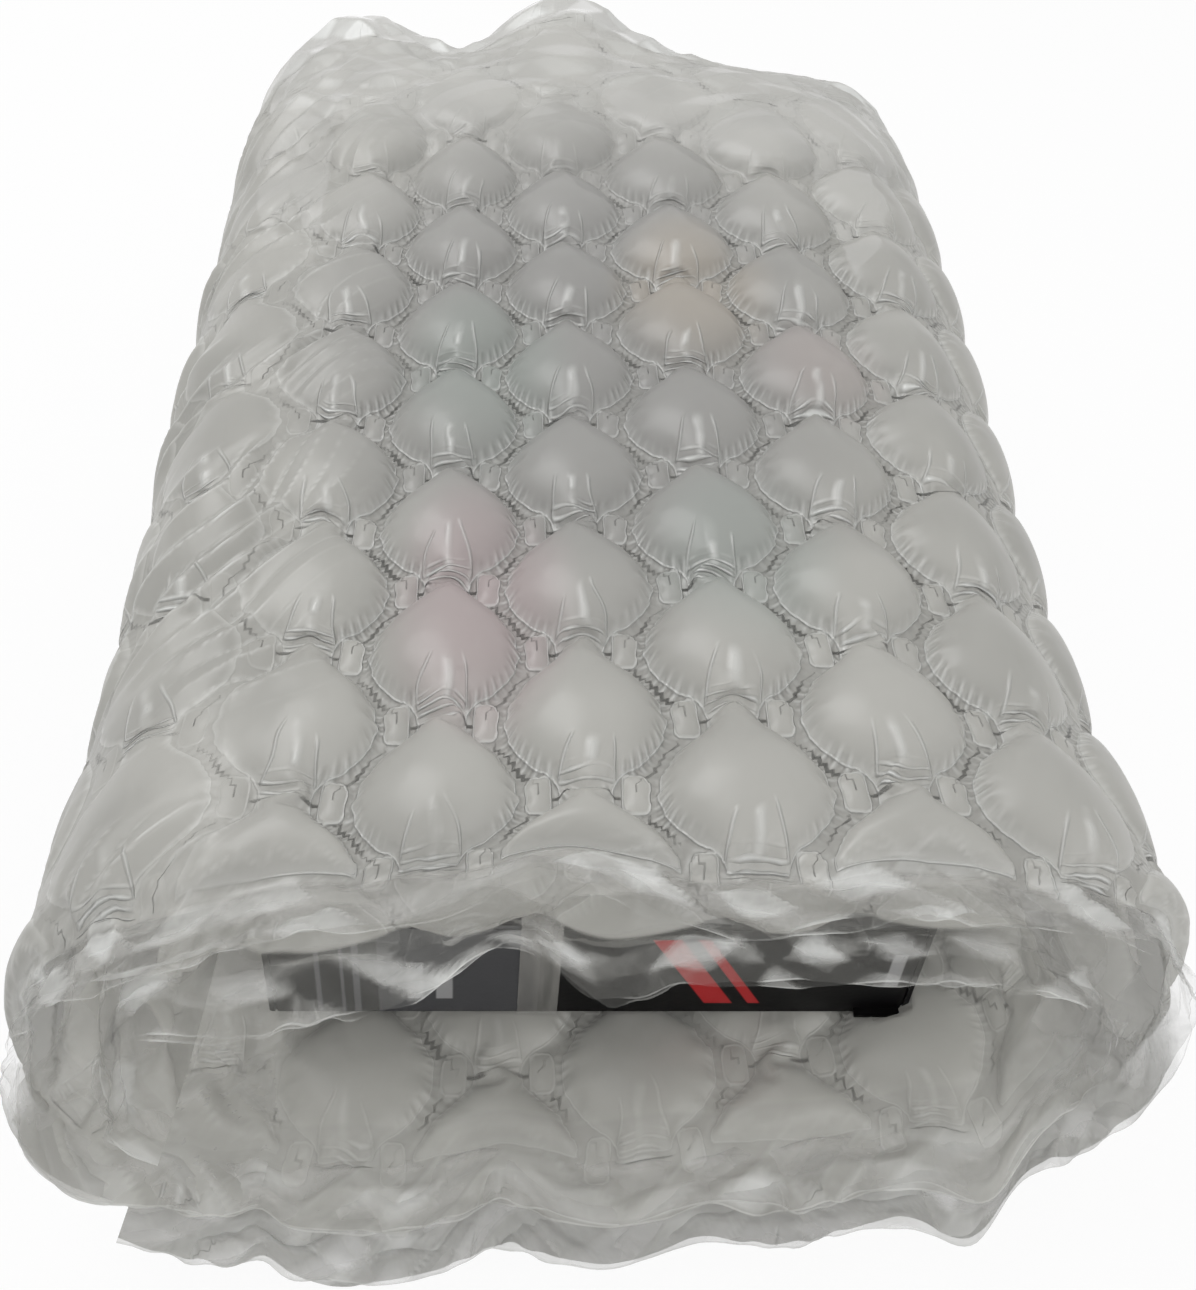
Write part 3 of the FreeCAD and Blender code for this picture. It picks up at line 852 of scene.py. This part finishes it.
def carton_material():
    """Black printed board: plain fields and bars, no lettering."""
    paint = Paint("carton_print")
    low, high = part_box("carton")
    left, right, floor, top = low[0], high[0], low[2], high[2]
    panel = paint.patch((left + 0.027, None, floor), (left + 0.066, None, top))
    tone = paint.mix(panel, colour(9, 8, 9), colour(70, 70, 72))
    for start, width in BARS:
        bar = paint.patch((left + start, None, floor), (left + start + width, None, top))
        tone = paint.mix(bar, tone, colour(92, 92, 94))
    for start, rise, width, height in BLOCKS:
        block = paint.patch((left + start, None, floor + rise),
                            (left + start + width, None, floor + rise + height))
        tone = paint.mix(block, tone, colour(150, 150, 150))
    slant = paint.x + paint.z * BAND_SLANT
    bands_left = left + BANDS_START + BAND_SLANT * floor
    for start, width in BANDS:
        band = (paint.between(slant, bands_left + start, bands_left + start + width)
                * paint.between(paint.z, floor + 0.004, top - 0.006))
        tone = paint.mix(band, tone, colour(168, 38, 40))
    # The lid's two fields of colour show only through the film.
    near_field = paint.patch((left + 0.02, low[1] + 0.02, None),
                             (right - 0.03, low[1] + 0.12, None), 0.002)
    far_field = paint.patch((left + 0.02, low[1] + 0.14, None),
                            (right - 0.06, high[1] - 0.03, None), 0.002)
    lid = paint.mix(near_field, colour(30, 29, 30), colour(120, 96, 98))
    lid = paint.mix(far_field, lid, colour(96, 110, 100))
    paint.set("Base Color", paint.mix(paint.ramp(paint.z, top - 0.0006, top - 0.0002), tone, lid))
    paint.set("Roughness", 0.40)
    paint.set("Specular IOR Level", 0.20)
    paint.bump(paint.noise(700.0, 2.0), 0.00004)
    return paint.material


def tape_material():
    paint = Paint("clear_tape_film")
    streak = paint.noise(120.0, 3.0, (1, 1, 0.15))
    paint.set("Base Color", colour(190, 188, 182))
    paint.set("Alpha", paint.ramp(streak, 0.35, 0.7, 0.18, 0.5))
    paint.set("Roughness", 0.12)
    paint.bump(streak, 0.0004)
    return paint.material


# --- putting it together ---------------------------------------------------------------------

# Threads in a chain and in a bubble, and steps.
FINE = ((34, 44, 300))
MIDDLE = ((24, 30, 240))


def dress(piece):
    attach(piece, "root")
    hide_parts("film_roll")


def outer_film():
    """The face of the outer turn that is seen all round, in a few pieces."""
    material = film_material("film_outer", colour(168, 167, 162), 0.90, 0.24, tints=TINTS)
    turn_start = int(SPIRAL.place_of_turn(TURNS - 1) / CHAIN)
    chains = CHAINS - turn_start
    per_chain, per_bubble, steps = FINE
    grid, flat = inflate(turn_start, chains, per_chain, per_bubble, steps, 11)
    points = wound(grid, flat, 1, OUTER_LIP)
    pieces = 4
    for number in range(pieces):
        first = per_chain * (chains * number // pieces)
        last = per_chain * (chains * (number + 1) // pieces) + 1
        dress(film_mesh("film_outer_%d" % (number + 1), points[first:last], flat[first:last],
                        material))


def inner_film():
    """The face that the carton lies in."""
    # Its body is painted lighter than the outer film's, to light the film that is seen in the shade
    # inside the mouth.
    material = film_material("film_inner", colour(173, 172, 166), 0.80, 0.13, 0.35, -9.0)
    chains = int(math.ceil(SPIRAL.place_of_turn(1.02) / CHAIN))
    per_chain, per_bubble, steps = MIDDLE
    grid, flat = inflate(0, chains, per_chain, per_bubble, steps, 23)
    points = wound(grid, flat, -1, INNER_LIP)
    split = chains // 2 * per_chain
    for number, (first, last) in enumerate(((0, split + 1), (split, None))):
        dress(film_mesh("film_inner_%d" % (number + 1), points[first:last], flat[first:last],
                        material, outward=False))


def edge_film():
    """The two covered plies between the turns, seen only where they come out at the mouth."""
    # Its body is painted lighter still, to light these plies in the shade between the turns.
    material = film_material("film_edge", colour(188, 187, 182), 0.50, 0.08, 0.5, -9.0)
    per_chain, per_bubble, steps = MIDDLE
    covered = (TURN_PITCH - 0.0006) / 2
    turn = int(SPIRAL.place_of_turn(TURNS - 1) / CHAIN)
    for name, first, chains, side, seed, lip in (
            ("film_edge_outer", turn, CHAINS - turn, -1, 31, OUTER_LIP),
            ("film_edge_inner", 0, turn + 1, 1, 47, INNER_LIP)):
        grid, flat = inflate(first, chains, per_chain, per_bubble, steps, seed,
                             (-SKIRT, 1.6 * BUBBLE))
        dress(film_mesh(name, wound(grid, flat, side, lip, covered), flat, material, side > 0))


def paint_rigid():
    """Materials of the CAD pieces that stay in view."""
    for node, make in (("carton", carton_material), ("clear_tape", tape_material)):
        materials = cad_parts[node].data.materials
        materials.clear()
        materials.append(make())


FLOOR_HALF, FLOOR_DROP = 3.0, 0.0005
FLOOR_WHITE = 0.92          # the camera's share of plain white, so that the shadow stays


def set_stage():
    mesh = bpy.data.meshes.new("floor")
    mesh.from_pydata([(x * FLOOR_HALF, y * FLOOR_HALF, -FLOOR_DROP)
                      for x, y in ((-1, -1), (1, -1), (1, 1), (-1, 1))], [], [(0, 1, 2, 3)])
    floor = bpy.data.objects.new("floor", mesh)
    bpy.context.collection.objects.link(floor)
    paint = Paint("floor_pale")
    paint.set("Base Color", (0.86, 0.86, 0.86))
    paint.set("Roughness", 0.9)
    paint.set("Specular IOR Level", 0.0)
    glow = paint.nodes.new("ShaderNodeEmission")
    glow.inputs["Color"].default_value = (1, 1, 1, 1)
    paint.blend(paint.rays("Camera", "Glossy", "Transmission") * FLOOR_WHITE,
                paint.shader, glow, "Material Output")
    mesh.materials.append(paint.material)


def set_world():
    """Soft light all round, and plain white behind the object."""
    world = bpy.data.worlds.new("studio")
    bpy.context.scene.world = world
    world.use_nodes = True
    shader = Shader(world.node_tree)
    soft, white = shader.nodes["Background"], shader.nodes.new("ShaderNodeBackground")
    for node, strength in ((soft, 0.60), (white, 1.0)):
        node.inputs["Color"].default_value = (1, 1, 1, 1)
        node.inputs["Strength"].default_value = strength
    shader.blend(shader.rays("Camera", "Transmission"), soft, white, "World Output")


def add_lamp(name, place, across, power):
    """A square lamp that shines at the middle of the pack."""
    lamp = bpy.data.lights.new(name, "AREA")
    lamp.shape = "RECTANGLE"
    lamp.size = lamp.size_y = across
    lamp.energy = power
    holder = bpy.data.objects.new(name, lamp)
    bpy.context.collection.objects.link(holder)
    holder.location = place
    aim = Vector((0, 0, 0.05)) - Vector(place)
    holder.rotation_euler = aim.to_track_quat("-Z", "Y").to_euler()


CAMERA_PLACE = (-0.02565, -0.19752, 0.32155)    # in the frame that the film is wound in
CAMERA_PITCH, CAMERA_YAW, CAMERA_ROLL = 45.94, -6.25, -5.52
SENSOR_WIDTH = 36.0
LENS_SHARE = 1.33779        # focal length over the picture's width


def add_camera():
    """The photograph's camera: looks down at the mouth, a little from the left."""
    turn = (Matrix.Rotation(math.radians(CAMERA_YAW), 3, "Z")
            @ Matrix.Rotation(-math.radians(CAMERA_PITCH), 3, "X")
            @ Matrix.Rotation(math.radians(CAMERA_ROLL), 3, "Y"))
    right, ahead, up = turn.col
    data = bpy.data.cameras.new("camera")
    data.sensor_fit = "HORIZONTAL"
    data.sensor_width = SENSOR_WIDTH
    data.lens = SENSOR_WIDTH * LENS_SHARE
    data.clip_start = 0.01
    camera = bpy.data.objects.new("camera", data)
    bpy.context.collection.objects.link(camera)
    axes = Matrix((right, up, -ahead)).transposed().to_4x4()
    camera.matrix_world = Matrix.Translation(Vector(SHIFT) + Vector(CAMERA_PLACE)) @ axes
    bpy.context.scene.camera = camera


def set_sampling():
    """Smooth film needs few samples, which keeps a full render under 5 minutes."""
    cycles = bpy.context.scene.cycles
    cycles.use_adaptive_sampling = True
    cycles.adaptive_threshold = 0.05
    cycles.adaptive_min_samples = 16


outer_film()
inner_film()
edge_film()
paint_rigid()
set_stage()
set_world()
add_lamp("key", (-0.5, 0.35, 1.1), 0.7, 6.0)
add_lamp("fill", (0.7, -0.7, 0.8), 0.9, 3.0)
add_camera()
set_sampling()
bpy.context.scene.view_settings.view_transform = "Standard"
